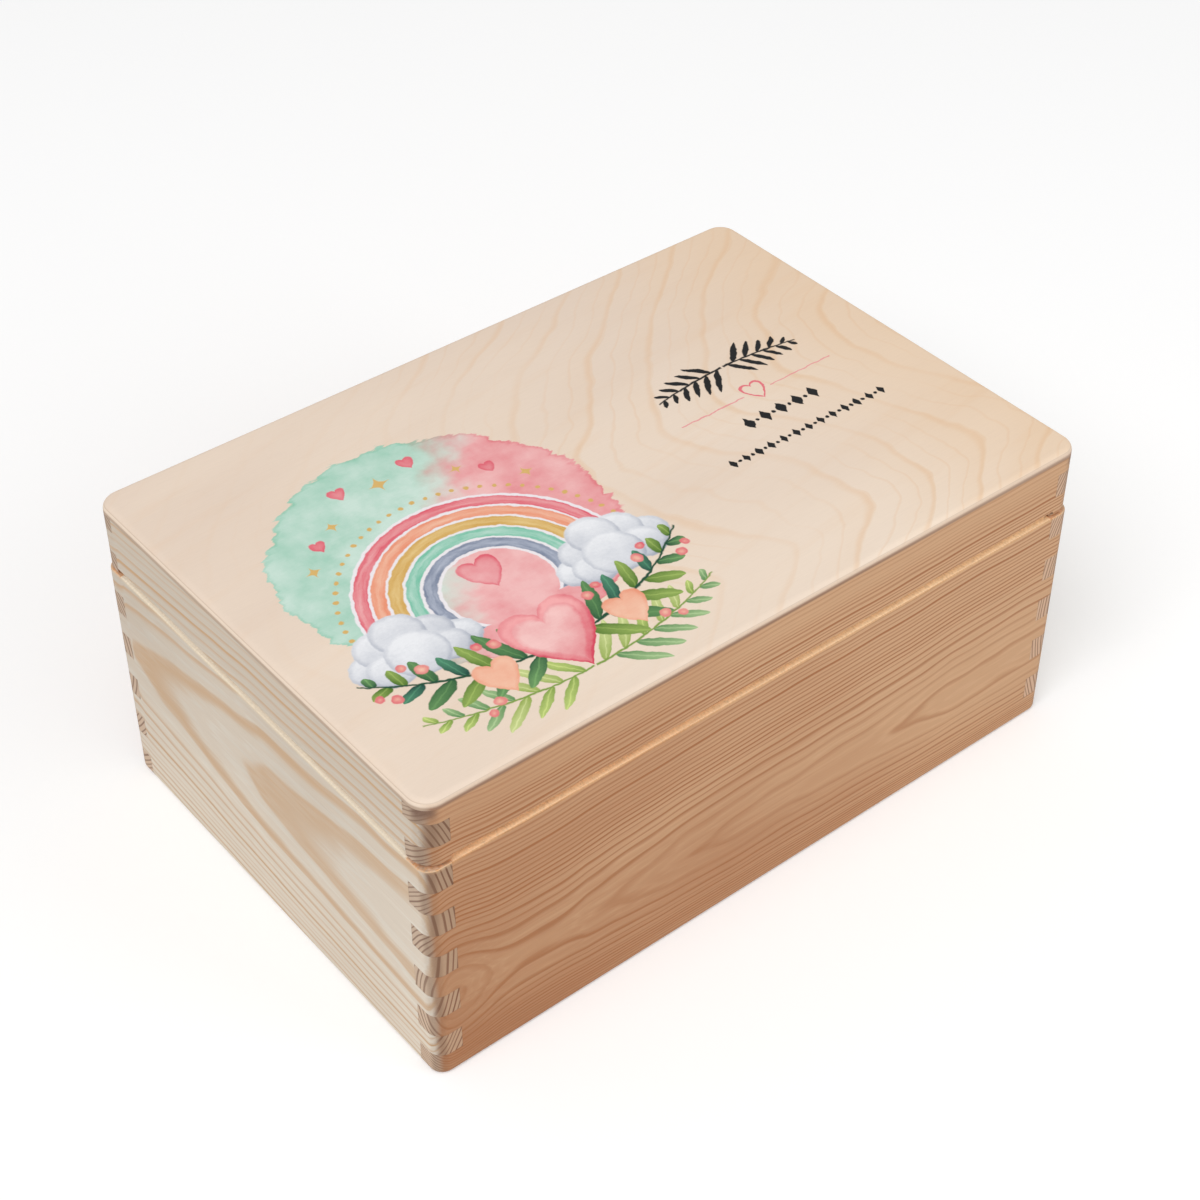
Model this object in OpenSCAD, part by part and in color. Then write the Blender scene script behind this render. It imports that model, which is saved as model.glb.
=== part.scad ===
// Hinged keepsake box of finger-jointed pine boards with a plywood lid panel and a plywood bottom.
// The box stands on the XY plane with its front along -Y, and its origin is the middle of its foot.

/* [Box] */
// Length of the box along its front
box_length = 300; // [240:1:400]
// Width of the box from front to back
box_width = 201; // [150:1:300]
// Radius of the body's four upright corners
body_corner_radius = 5.5; // [3.5:0.5:9]
// Radius of the lid's four upright corners, which are sanded rounder
lid_corner_radius = 8; // [4:0.5:9.5]
// Radius sanded on the body's lower outer edges
foot_round = 2; // [0.5:0.1:3]
// Radius sanded on the outer edge of the body's rim
rim_round = 0.6; // [0.3:0.1:1]

/* [Boards] */
// Thickness of the pine boards
board_thickness = 10.5; // [10:0.5:14]
// Height of one finger of the corner joints
finger_height = 10.2; // [8:0.1:12]
// Number of fingers in the body's height
body_fingers = 10; // [6:1:14]
// Height of the lid's frame of boards
lid_frame_height = 26.5; // [18:0.1:36]
// Bevel on the lid's lower outer edges, where the fingers lift it
lid_bevel = 3.5; // [2.8:0.1:4]
// Smaller bevel at the lid's corner joints, where the large one stops
corner_bevel = 1.8; // [1:0.1:2.4]
// Gap between the lid frame and the rim that it closes on
lid_gap = 0.2; // [0.1:0.1:0.4]

/* [Panels] */
// Thickness of the plywood panel on the lid
top_thickness = 3.5; // [3:0.5:6]
// Radius on the lid panel's upper outer edge
top_round = 2.8; // [1:0.1:2.8]
// Thickness of the plywood bottom
bottom_thickness = 4; // [3:0.5:6]
// Width of the rebate in the boards that holds the bottom
rebate_width = 5; // [3:0.5:6]
// Radius that the cutter leaves in the rebate's corners
rebate_radius = 6; // [3:0.5:8]
// Gap round the edge of the bottom
bottom_clearance = 0.2; // [0.1:0.1:0.5]

/* [Hinges] */
// Length of one hinge
hinge_length = 30; // [24:1:50]
// Distance from the box's end to the middle of its hinge
hinge_inset = 62; // [40:1:80]
// Reach of a leaf from the hinge axis
leaf_reach = 7.2; // [6:0.1:8]
// Thickness of a leaf
leaf_thickness = 0.8; // [0.8:0.1:1]
// Depth of a leaf's face below its wooden face
leaf_sink = 0.1; // [0.1:0.1:0.2]
// Outer radius of the knuckles, which lie flush with the back face
knuckle_radius = 1.4; // [1.2:0.1:1.4]
// Gap between neighbouring knuckles
knuckle_gap = 0.2; // [0.1:0.1:0.5]
// Radius of the hinge pin
pin_radius = 0.65; // [0.5:0.05:0.75]
// Radial running gap round the hinge pin
pin_clearance = 0.05; // [0.02:0.01:0.1]
// Radius of the riveted heads on the pin
pin_head_radius = 1.15; // [0.9:0.05:1.2]
// Thickness of the riveted heads on the pin
pin_head_thickness = 0.45; // [0.3:0.05:0.8]
// Gap round a leaf in its mortise
mortise_clearance = 0.1; // [0.1:0.05:0.3]
// Gap between the knuckles and what turns past them
knuckle_clearance = 0.3; // [0.2:0.05:0.5]

/* [Screws] */
// Distance between the two screws of a leaf
screw_spacing = 18; // [12:1:20]
// Distance from the hinge axis to the screws
screw_offset = 4.3; // [3.8:0.1:4.6]
// Radius of a screw's shank
screw_radius = 0.85; // [0.7:0.05:1]
// Radius of a screw's countersunk head
screw_head_radius = 1.6; // [1.4:0.05:1.7]
// Length of a screw with its head
screw_length = 8; // [6:0.5:12]
// Radial gap round a screw in its leaf and in the wood
screw_clearance = 0.05; // [0.03:0.01:0.1]
// Width of the cross recess in a screw's head
recess_width = 0.4; // [0.3:0.05:0.5]
// Depth of the cross recess in a screw's head
recess_depth = 0.4; // [0.3:0.05:0.5]

/* [Hidden] */
$fn = 64;

front = -1;
back = 1;
left = -1;
right = 1;
// Fingers are counted from the foot: even ones belong to the long boards, odd ones to the end boards.
LONG_BOARD_FINGERS = 0;
END_BOARD_FINGERS = 1;
overcut = 1;
// A finger lower than this joins the one beside it.
least_finger = 1;

rim_height = body_fingers * finger_height;
lid_low = rim_height + lid_gap;
lid_high = lid_low + lid_frame_height;
hinge_level = rim_height + lid_gap / 2;
axis_inset = knuckle_radius;
rebate_margin = board_thickness - rebate_width;
rebate_length = box_length - 2 * rebate_margin;
rebate_wide = box_width - 2 * rebate_margin;
pin_end_gap = pin_clearance;
relief_length = hinge_length + 2 * (pin_head_thickness + pin_end_gap + mortise_clearance);
relief_radius = knuckle_radius + knuckle_clearance;
knuckle_length = (hinge_length - 2 * knuckle_gap) / 3;
leaf_face = lid_gap / 2 + leaf_sink;
screw_head_height = screw_head_radius - screw_radius;

// The outline of a rounded block's edge, from its corner's axis out to its face.
module edge_outline(radius, height, low_round, low_bevel, high_round) {
    difference() {
        square([radius, height]);
        if (low_round > 0)
            translate([radius - low_round, 0])
                rounding_waste(low_round, -1);
        if (low_bevel > 0)
            translate([radius, 0])
                bevel_waste(low_bevel);
        if (high_round > 0)
            translate([radius - high_round, height])
                rounding_waste(high_round, 1);
    }
}

// What comes off a square lower edge to bevel it.
module bevel_waste(bevel) {
    polygon([[-bevel, 0], [0, bevel], [overcut, bevel], [overcut, -overcut], [-bevel, -overcut]]);
}

// What comes off a square edge to round it, upwards (side 1) or downwards (side -1).
module rounding_waste(round_radius, side) {
    difference() {
        translate([0, side > 0 ? -round_radius : -overcut])
            square([round_radius + overcut, round_radius + overcut]);
        translate([0, -side * round_radius])
            circle(round_radius);
    }
}

// A block with round upright corners, and its lower and upper edges rounded or bevelled.
module rounded_block(length, width, height, radius, low_round = 0, low_bevel = 0, high_round = 0) {
    translate([radius - length / 2, radius - width / 2, 0])
        cube([length - 2 * radius, width - 2 * radius, height]);
    for (quarter = [0:3]) {
        along = quarter % 2 == 0 ? length : width;
        across = quarter % 2 == 0 ? width : length;
        rotate([0, 0, 90 * quarter]) {
            translate([along / 2 - radius, across / 2 - radius, 0])
                rotate_extrude(angle = 90)
                    edge_outline(radius, height, low_round, low_bevel, high_round);
            translate([radius - along / 2, across / 2 - radius, 0])
                rotate([90, 0, 90])
                    linear_extrude(along - 2 * radius)
                        edge_outline(radius, height, low_round, low_bevel, high_round);
        }
    }
}

// Slots for the other boards' fingers at both ends of a board that lies along X.
module finger_slots(length, slot_fingers, low, high) {
    slot_length = board_thickness + overcut;
    slot_middle = length / 2 - board_thickness + slot_length / 2;
    for (i = [slot_fingers:2:ceil(high / finger_height)]) {
        slot_low = i * finger_height;
        slot_high = slot_low + finger_height;
        if (slot_high > low + least_finger && slot_low < high - least_finger) {
            cut_low = slot_low < low + least_finger ? low - overcut : slot_low;
            cut_high = slot_high > high - least_finger ? high + overcut : slot_high;
            for (end = [left, right])
                translate([end * slot_middle, 0, (cut_low + cut_high) / 2])
                    cube([slot_length, board_thickness + 2 * overcut, cut_high - cut_low], center = true);
        }
    }
}

// The space of one board along X, with its fingers, before the corners are rounded.
module board_space(length, slot_fingers, low, high) {
    difference() {
        translate([-length / 2, -board_thickness / 2, low])
            cube([length, board_thickness, high - low]);
        finger_slots(length, slot_fingers, low, high);
    }
}

module long_board_space(side, low, high) {
    translate([0, side * (box_width - board_thickness) / 2, 0])
        board_space(box_length, END_BOARD_FINGERS, low, high);
}

module end_board_space(side, low, high) {
    translate([side * (box_length - board_thickness) / 2, 0, 0])
        rotate([0, 0, 90])
            board_space(box_width, LONG_BOARD_FINGERS, low, high);
}

module body_block() {
    rounded_block(box_length, box_width, rim_height, body_corner_radius,
                  low_round = foot_round, high_round = rim_round);
}

module lid_block() {
    translate([0, 0, lid_low])
        rounded_block(box_length, box_width, lid_frame_height, lid_corner_radius, low_bevel = corner_bevel);
}

// The large bevel's cut along one of the lid's boards, whose face is turned that far from the back.
module lid_bevel_cut(turn, reach, length) {
    rotate([0, 0, turn])
        translate([-length / 2, reach, lid_low])
            rotate([90, 0, 90])
                linear_extrude(length)
                    bevel_waste(lid_bevel);
}

// The rebate that is cut round the body's lower inner edge for the bottom.
module bottom_rebate() {
    translate([0, 0, -overcut])
        rounded_block(rebate_length, rebate_wide, bottom_thickness + overcut, rebate_radius);
}

module at_hinge(side) {
    translate([side * (box_length / 2 - hinge_inset), box_width / 2 - axis_inset, hinge_level])
        children();
}

module at_screws() {
    for (end = [left, right])
        translate([end * screw_spacing / 2, -screw_offset, 0])
            children();
}

// What one hinge takes out of the body's rim; the lid's is its mirror image.
module hinge_mortise() {
    pocket_length = hinge_length + 2 * mortise_clearance;
    pocket_reach = leaf_reach + mortise_clearance;
    translate([-pocket_length / 2, -pocket_reach, -leaf_face - leaf_thickness])
        cube([pocket_length, pocket_reach + axis_inset + overcut, leaf_thickness + leaf_face + overcut]);
    translate([-relief_length / 2, 0, 0])
        rotate([0, 90, 0])
            cylinder(r = relief_radius, h = relief_length);
    at_screws()
        translate([0, 0, -leaf_face - screw_length - screw_clearance])
            cylinder(r = screw_radius + screw_clearance, h = screw_length);
}

module knuckle(from, to) {
    translate([from, 0, 0])
        rotate([0, 90, 0])
            cylinder(r = knuckle_radius, h = to - from);
}

// The body's leaf has the two outer knuckles, and the lid's leaf the middle one.
module hinge_leaf(outer_knuckles) {
    middle = knuckle_length / 2;
    outer = hinge_length / 2;
    keep_clear = knuckle_radius + knuckle_clearance;
    difference() {
        union() {
            difference() {
                translate([-outer, -leaf_reach, -leaf_face - leaf_thickness])
                    cube([hinge_length, leaf_reach, leaf_thickness]);
                if (outer_knuckles)
                    notch(-middle - knuckle_gap, middle + knuckle_gap, keep_clear);
                else
                    for (end = [left, right])
                        notch(end < 0 ? -outer - overcut : middle, end < 0 ? -middle : outer + overcut,
                              keep_clear);
            }
            if (outer_knuckles) {
                knuckle(-outer, -middle - knuckle_gap);
                knuckle(middle + knuckle_gap, outer);
            } else {
                knuckle(-middle, middle);
            }
        }
        translate([-outer - overcut, 0, 0])
            rotate([0, 90, 0])
                cylinder(r = pin_radius + pin_clearance, h = hinge_length + 2 * overcut);
        at_screws()
            leaf_hole();
    }
}

// Room that a leaf leaves beside the other leaf's knuckle.
module notch(from, to, reach) {
    translate([from, -reach, -leaf_face - leaf_thickness - overcut])
        cube([to - from, reach + overcut, leaf_thickness + 2 * overcut]);
}

// Countersunk hole through a leaf, opening upwards.
module leaf_hole() {
    translate([0, 0, -leaf_face - leaf_thickness - overcut])
        cylinder(r = screw_radius + screw_clearance, h = leaf_thickness + 2 * overcut);
    translate([0, 0, -leaf_face - screw_head_height])
        cylinder(r1 = screw_radius + screw_clearance, r2 = screw_head_radius + screw_clearance,
                 h = screw_head_height);
}

module screw() {
    difference() {
        union() {
            translate([0, 0, -leaf_face - screw_length])
                cylinder(r = screw_radius, h = screw_length - screw_head_height);
            translate([0, 0, -leaf_face - screw_head_height])
                cylinder(r1 = screw_radius, r2 = screw_head_radius, h = screw_head_height);
        }
        for (turn = [0, 90])
            rotate([0, 0, turn])
                translate([0, 0, -leaf_face])
                    cube([2 * screw_radius, recess_width, 2 * recess_depth], center = true);
    }
}

module leaf_screws() {
    at_screws()
        screw();
}

module upside_down() {
    mirror([0, 0, 1])
        children();
}

module pine_long() {
    color("#c79a70")
        children();
}

module pine_end() {
    color("#d3c2a8")
        children();
}

module birch_ply() {
    color("#ecdbc8")
        children();
}

module brass() {
    color("#c9a24e")
        children();
}

module body_long_board(side) {
    pine_long()
        difference() {
            intersection() {
                body_block();
                long_board_space(side, 0, rim_height);
            }
            bottom_rebate();
            if (side == back)
                for (end = [left, right])
                    at_hinge(end)
                        hinge_mortise();
        }
}

module body_end_board(side) {
    pine_end()
        difference() {
            intersection() {
                body_block();
                end_board_space(side, 0, rim_height);
            }
            bottom_rebate();
        }
}

module lid_long_board(side) {
    pine_long()
        difference() {
            intersection() {
                lid_block();
                long_board_space(side, lid_low, lid_high);
            }
            if (side == back) {
                lid_bevel_cut(0, box_width / 2, box_length + 2 * overcut);
                for (end = [left, right])
                    at_hinge(end)
                        upside_down()
                            hinge_mortise();
            } else {
                lid_bevel_cut(180, box_width / 2, box_length - 2 * board_thickness);
            }
        }
}

module lid_end_board(side) {
    pine_end()
        difference() {
            intersection() {
                lid_block();
                end_board_space(side, lid_low, lid_high);
            }
            lid_bevel_cut(-side * 90, box_length / 2, box_width);
        }
}

module bottom_panel() {
    birch_ply()
        rounded_block(rebate_length - 2 * bottom_clearance, rebate_wide - 2 * bottom_clearance,
                      bottom_thickness, rebate_radius - bottom_clearance);
}

module lid_top_panel() {
    birch_ply()
        translate([0, 0, lid_high])
            rounded_block(box_length, box_width, top_thickness, lid_corner_radius, high_round = top_round);
}

module hinge_body_leaf(side) {
    brass()
        at_hinge(side)
            hinge_leaf(true);
}

module hinge_lid_leaf(side) {
    brass()
        at_hinge(side)
            upside_down()
                hinge_leaf(false);
}

module hinge_pin(side) {
    shank = hinge_length + 2 * pin_end_gap;
    brass()
        at_hinge(side)
            rotate([0, 90, 0]) {
                cylinder(r = pin_radius, h = shank, center = true);
                for (end = [left, right])
                    translate([0, 0, end * (shank + pin_head_thickness) / 2])
                        cylinder(r = pin_head_radius, h = pin_head_thickness, center = true);
            }
}

module hinge_body_screws(side) {
    brass()
        at_hinge(side)
            leaf_screws();
}

module hinge_lid_screws(side) {
    brass()
        at_hinge(side)
            upside_down()
                leaf_screws();
}

body_long_board(front);  // body_front_board
body_long_board(back);  // body_back_board
body_end_board(left);  // body_left_board
body_end_board(right);  // body_right_board
bottom_panel();
lid_long_board(front);  // lid_front_board
lid_long_board(back);  // lid_back_board
lid_end_board(left);  // lid_left_board
lid_end_board(right);  // lid_right_board
lid_top_panel();
hinge_body_leaf(left);  // left_hinge_body_leaf
hinge_lid_leaf(left);  // left_hinge_lid_leaf
hinge_pin(left);  // left_hinge_pin
hinge_body_screws(left);  // left_hinge_body_screws
hinge_lid_screws(left);  // left_hinge_lid_screws
hinge_body_leaf(right);  // right_hinge_body_leaf
hinge_lid_leaf(right);  // right_hinge_lid_leaf
hinge_pin(right);  // right_hinge_pin
hinge_body_screws(right);  // right_hinge_body_screws
hinge_lid_screws(right);  // right_hinge_lid_screws
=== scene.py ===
"""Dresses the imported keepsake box: pine boards, birch plywood, a soft print on the lid, and brass hinges.

Lengths in the finishes are millimetres, because a wood's figure is easiest to read in them.
Everything that has a place in the scene is in metres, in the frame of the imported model.
"""

import logging
import math
from dataclasses import dataclass, replace
from enum import Enum
from functools import reduce
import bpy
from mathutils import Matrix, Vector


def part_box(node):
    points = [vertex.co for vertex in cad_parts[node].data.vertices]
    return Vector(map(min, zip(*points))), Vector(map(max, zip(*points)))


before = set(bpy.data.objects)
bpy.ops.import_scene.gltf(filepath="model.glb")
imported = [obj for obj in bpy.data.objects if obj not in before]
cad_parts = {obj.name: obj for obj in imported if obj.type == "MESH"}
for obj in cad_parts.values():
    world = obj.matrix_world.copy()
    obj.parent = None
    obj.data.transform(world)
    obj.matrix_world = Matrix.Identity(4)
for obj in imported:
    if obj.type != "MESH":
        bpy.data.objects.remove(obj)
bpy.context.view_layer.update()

from types import MappingProxyType
from typing import Mapping, Optional, Sequence, Union

import bmesh
import bpy
from mathutils import Matrix, Vector

LOG = logging.getLogger("keepsake_box")
METRE = 1000.0  # millimetres in a metre
NOTHING: Mapping = MappingProxyType({})

Triple = tuple[float, float, float]
Pair = tuple[float, float]
Colour = tuple[float, float, float, float]
Value = Union["Wire", float]
Ink = Union["Wire", Colour]


class Axis(Enum):
    """The directions of the box's own frame."""

    RIGHT = (1.0, 0.0, 0.0)
    LEFT = (-1.0, 0.0, 0.0)
    BACK = (0.0, 1.0, 0.0)
    FRONT = (0.0, -1.0, 0.0)


class Mixing(Enum):
    """How one colour goes over another."""

    COVER = "MIX"
    STAIN = "MULTIPLY"


def paint(red: int, green: int, blue: int) -> Colour:
    """Turns a colour as a screen shows it into the linear colour that a shader takes.

    Args:
        red: Red, 0 to 255.
        green: Green, 0 to 255.
        blue: Blue, 0 to 255.

    Returns:
        The linear red, green, blue and an alpha of 1.
    """
    linear = []
    for level in (red, green, blue):
        share = level / 255.0
        linear.append(share / 12.92 if share <= 0.04045 else ((share + 0.055) / 1.055) ** 2.4)
    return (*linear, 1.0)


WHITE = paint(255, 255, 255)


class Wire:
    """One socket of a node, which takes part in Python arithmetic by adding Math nodes."""

    def __init__(self, graph: "Graph", socket: bpy.types.NodeSocket) -> None:
        """Wraps a socket of a graph."""
        self.graph = graph
        self.socket = socket

    def __add__(self, other: Value) -> "Wire":
        """Adds."""
        return self.graph.math("ADD", self, other)

    def __radd__(self, other: float) -> "Wire":
        """Adds to a number."""
        return self.graph.math("ADD", other, self)

    def __sub__(self, other: Value) -> "Wire":
        """Subtracts."""
        return self.graph.math("SUBTRACT", self, other)

    def __rsub__(self, other: float) -> "Wire":
        """Subtracts from a number, so that 1 - mask works."""
        return self.graph.math("SUBTRACT", other, self)

    def __mul__(self, other: Value) -> "Wire":
        """Multiplies."""
        return self.graph.math("MULTIPLY", self, other)

    def __rmul__(self, other: float) -> "Wire":
        """Multiplies a number."""
        return self.graph.math("MULTIPLY", other, self)

    def __truediv__(self, other: Value) -> "Wire":
        """Divides."""
        return self.graph.math("DIVIDE", self, other)

    def __pow__(self, other: Value) -> "Wire":
        """Raises to a power."""
        return self.graph.math("POWER", self, other)

    def __abs__(self) -> "Wire":
        """Drops the sign."""
        return self.graph.math("ABSOLUTE", self)

    def root(self) -> "Wire":
        """Takes the square root."""
        return self.graph.math("SQRT", self)

    def fraction(self) -> "Wire":
        """Keeps what is past the whole number."""
        return self.graph.math("FRACT", self)

    def whole(self) -> "Wire":
        """Keeps the whole number."""
        return self.graph.math("FLOOR", self)

    def least(self, other: Value) -> "Wire":
        """Takes the lower of two values."""
        return self.graph.math("MINIMUM", self, other)

    def most(self, other: Value) -> "Wire":
        """Takes the higher of two values."""
        return self.graph.math("MAXIMUM", self, other)

    def diagonal(self, other: "Wire") -> "Wire":
        """Measures the way to a place this far along and the other value aside."""
        return (self ** 2.0 + other ** 2.0).root()

    def ramp(self, low: float, high: float) -> "Wire":
        """Rises smoothly from 0 at low to 1 at high, or falls where low is the higher.

        Args:
            low: Where the ramp starts.
            high: Where the ramp ends.

        Returns:
            The ramp's level, 0 to 1.
        """
        start, end, first, last = (low, high, 0.0, 1.0) if low < high else (high, low, 1.0, 0.0)
        return self.graph.node(
            "ShaderNodeMapRange",
            {"interpolation_type": "SMOOTHSTEP"},
            {"Value": self, "From Min": start, "From Max": end, "To Min": first, "To Max": last},
        )

    def dot(self, direction: Triple) -> "Wire":
        """Measures a place along a direction."""
        return self.graph.vector_math("DOT_PRODUCT", self, direction, output="Value")

    def gap(self, point: Union["Wire", Triple]) -> "Wire":
        """Measures the distance from a place to a point."""
        return self.graph.vector_math("DISTANCE", self, point, output="Value")


class Graph:
    """The nodes of one material or of the world, and the one way in which nodes are added."""

    def __init__(self, owner: Union[bpy.types.Material, bpy.types.World]) -> None:
        """Empties the owner's nodes.

        Args:
            owner: The material or world.
        """
        self.owner = owner
        owner.use_nodes = True
        self.tree = owner.node_tree
        self.tree.nodes.clear()

    def node(
        self,
        kind: str,
        settings: Mapping[str, object] = NOTHING,
        inputs: Mapping[Union[str, int], object] = NOTHING,
        output: Union[str, int] = 0,
    ) -> Wire:
        """Adds a node, sets it, and then feeds its sockets.

        Args:
            kind: The node's type.
            settings: Its own settings, with a ramp's stops as (place, colour) under "stops".
            inputs: Values or wires by the socket's name or number.
            output: The output that is wanted.

        Returns:
            The wire of that output.
        """
        made = self.tree.nodes.new(kind)
        for name, value in settings.items():
            if name == "stops":
                self._fill_stops(made.color_ramp, value)
            elif name == "interpolation":
                made.color_ramp.interpolation = value
            else:
                setattr(made, name, value)
        for name, value in inputs.items():
            socket = made.inputs[name]
            if isinstance(value, Wire):
                self.tree.links.new(value.socket, socket)
            else:
                socket.default_value = value
        return Wire(self, made.outputs[output])

    def _fill_stops(self, ramp: bpy.types.ColorRamp, stops: Sequence[tuple[float, Colour]]) -> None:
        """Sets a ramp's stops, which are given from its start to its end.

        Args:
            ramp: The ramp.
            stops: A place from 0 to 1 and a linear colour each.
        """
        while len(ramp.elements) < len(stops):
            ramp.elements.new(1.0)
        for number, (place, colour) in enumerate(stops):
            ramp.elements[number].position = place
            ramp.elements[number].color = colour

    def profile(self, at: Wire, points: Sequence[Pair]) -> Wire:
        """Draws a smooth curve through points, as a ramp of greys.

        Args:
            at: Where on the curve.
            points: Place and height of each point, in rising order of place.

        Returns:
            The curve's height there.
        """
        first, last = points[0][0], points[-1][0]
        low = min(height for _, height in points)
        high = max(height for _, height in points)
        stops = []
        for place, height in points:
            level = (height - low) / (high - low)
            stops.append(((place - first) / (last - first), (level, level, level, 1.0)))
        settings = {"interpolation": "CARDINAL", "stops": stops}
        curve = self.node("ShaderNodeValToRGB", settings, {"Fac": (at - first) / (last - first)})
        return curve * (high - low) + low

    def palette(self, at: Wire, colours: Sequence[Colour]) -> Wire:
        """Picks one of several colours by a level from 0 to 1."""
        stops = [(number / len(colours), colour) for number, colour in enumerate(colours)]
        return self.node("ShaderNodeValToRGB", {"interpolation": "CONSTANT", "stops": stops}, {"Fac": at})

    def math(self, operation: str, *values: Value) -> Wire:
        """Adds one Math node."""
        return self.node("ShaderNodeMath", {"operation": operation}, dict(enumerate(values)))

    def vector_math(
        self, operation: str, first: Wire, second: Union[Wire, Triple], output: str = "Vector"
    ) -> Wire:
        """Adds one Vector Math node."""
        return self.node("ShaderNodeVectorMath", {"operation": operation}, {0: first, 1: second}, output)

    def vector(self, x: Value, y: Value, z: Value = 0.0) -> Wire:
        """Joins three values to a vector."""
        return self.node("ShaderNodeCombineXYZ", {}, {"X": x, "Y": y, "Z": z})

    def part(self, vector: Wire, axis: str) -> Wire:
        """Takes one of a vector's three values."""
        return self.node("ShaderNodeSeparateXYZ", {}, {"Vector": vector}, axis)

    def place(self) -> Wire:
        """The place on the box in millimetres, which moves with the body."""
        values = {"Vector": self.node("ShaderNodeTexCoord", output="Object"), "Scale": METRE}
        return self.node("ShaderNodeVectorMath", {"operation": "SCALE"}, values, "Vector")

    def facing(self) -> Wire:
        """The surface's own direction, which moves with the body."""
        return self.node("ShaderNodeTexCoord", output="Normal")

    def noise(self, at: Wire, scale: float = 1.0, detail: float = 2.0, roughness: float = 0.5) -> Wire:
        """Soft noise about 0, from -0.5 to 0.5, over a place."""
        values = {"Vector": at, "Scale": scale, "Detail": detail, "Roughness": roughness}
        return self.node("ShaderNodeTexNoise", {"noise_dimensions": "3D"}, values) - 0.5

    def noise_along(self, at: Wire, scale: float) -> Wire:
        """Soft noise about 0, from -0.5 to 0.5, over one value."""
        values = {"W": at, "Scale": scale, "Detail": 1.0}
        return self.node("ShaderNodeTexNoise", {"noise_dimensions": "1D"}, values) - 0.5

    def dice(self, at: Wire) -> Wire:
        """A random level from 0 to 1 for each whole value."""
        return self.node("ShaderNodeTexWhiteNoise", {"noise_dimensions": "1D"}, {"W": at})

    def over(self, under: Ink, top: Ink, share: Value, mixing: Mixing = Mixing.COVER) -> Wire:
        """Lays one colour over another.

        Args:
            under: The colour below, a wire or a linear colour.
            top: The colour on top.
            share: How much of it shows, 0 to 1.
            mixing: How it goes over.

        Returns:
            The colour that results.
        """
        settings = {"data_type": "RGBA", "blend_type": mixing.value, "clamp_factor": True}
        return self.node("ShaderNodeMix", settings, {0: share, 6: under, 7: top}, 2)

    def lighten(self, colour: Wire, level: Value) -> Wire:
        """Multiplies a colour by one level."""
        return self.over(colour, self.vector(level, level, level), 1.0, Mixing.STAIN)

    def finish(
        self, colour: Wire, roughness: Value, height: Wire, lift: float, constants: Mapping[str, object]
    ) -> bpy.types.Material:
        """Ends the material in one shader.

        Args:
            colour: The base colour.
            roughness: The roughness.
            height: The height of the surface's relief, in millimetres.
            lift: How strongly the relief shows, 0 to 1.
            constants: Values for the shader's other sockets, the same all over.

        Returns:
            The finished material.
        """
        values = {"Strength": lift, "Distance": 1.0 / METRE, "Height": height}
        relief = self.node("ShaderNodeBump", {}, values)
        values = {"Base Color": colour, "Roughness": roughness, "Normal": relief, **constants}
        self.show(self.node("ShaderNodeBsdfPrincipled", {}, values))
        return self.owner

    def show(self, shader: Wire, output: str = "ShaderNodeOutputMaterial") -> None:
        """Joins a shader to the output."""
        self.tree.links.new(shader.socket, self.tree.nodes.new(output).inputs["Surface"])


@dataclass(frozen=True)
class Joinery:
    """The corner joints' layout, in millimetres, which the finishes of all the boards share."""

    half_length: float
    half_width: float
    board: float
    finger: float
    rim: float
    lid_low: float
    lid_high: float
    line: float = 0.16

    def past(self, graph: Graph, place: Wire) -> tuple[Wire, Wire]:
        """Measures how far a place lies past the boards' inner faces, lengthwise and crosswise."""
        long = abs(graph.part(place, "X")) - (self.half_length - self.board)
        return long, abs(graph.part(place, "Y")) - (self.half_width - self.board)

    def corner(self, graph: Graph, place: Wire) -> Wire:
        """Marks the corner joints, where the saw and the cutter left rough end grain."""
        past_long, past_wide = self.past(graph, place)
        return past_long.least(past_wide).ramp(-1.0, 0.0)

    def seams(self, graph: Graph, place: Wire) -> Wire:
        """Marks the fine glue lines between the fingers.

        Args:
            graph: The material's graph.
            place: The place on the box.

        Returns:
            1 on a line and 0 beside it.
        """
        past_long, past_wide = self.past(graph, place)
        corner = past_long.least(past_wide).ramp(-2 * self.line, -self.line)
        rows = graph.part(place, "Z") / self.finger
        level = (0.5 - abs(rows.fraction() - 0.5)) * self.finger
        end_row = (rows * 0.5).fraction().ramp(0.499, 0.501)
        upright = abs(past_long).ramp(self.line, 0.0) * end_row
        upright = upright.most(abs(past_wide).ramp(self.line, 0.0) * (1.0 - end_row))
        return level.ramp(self.line, 0.0).most(upright) * corner


@dataclass(frozen=True)
class Heart:
    """Where the tree's heart ran past one side of the box, which draws the growth rings on it.

    The heart lies outside the board. `run` gives its distance from the board's face at places along
    the grain, and `height` its level above the foot. A ring is `young` wide at the distance
    `middle` and `old` wide beyond the distance `aged`. `pinch` points the tips of the arches, and
    `squeeze` draws the rings closer together below the heart.
    """

    grain: Axis
    outward: Axis
    face: float
    height: float
    run: tuple[Pair, ...]
    middle: float
    aged: float
    young: float
    old: float
    shift: float
    pinch: float
    squeeze: float
    sway: float
    seed: float


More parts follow.
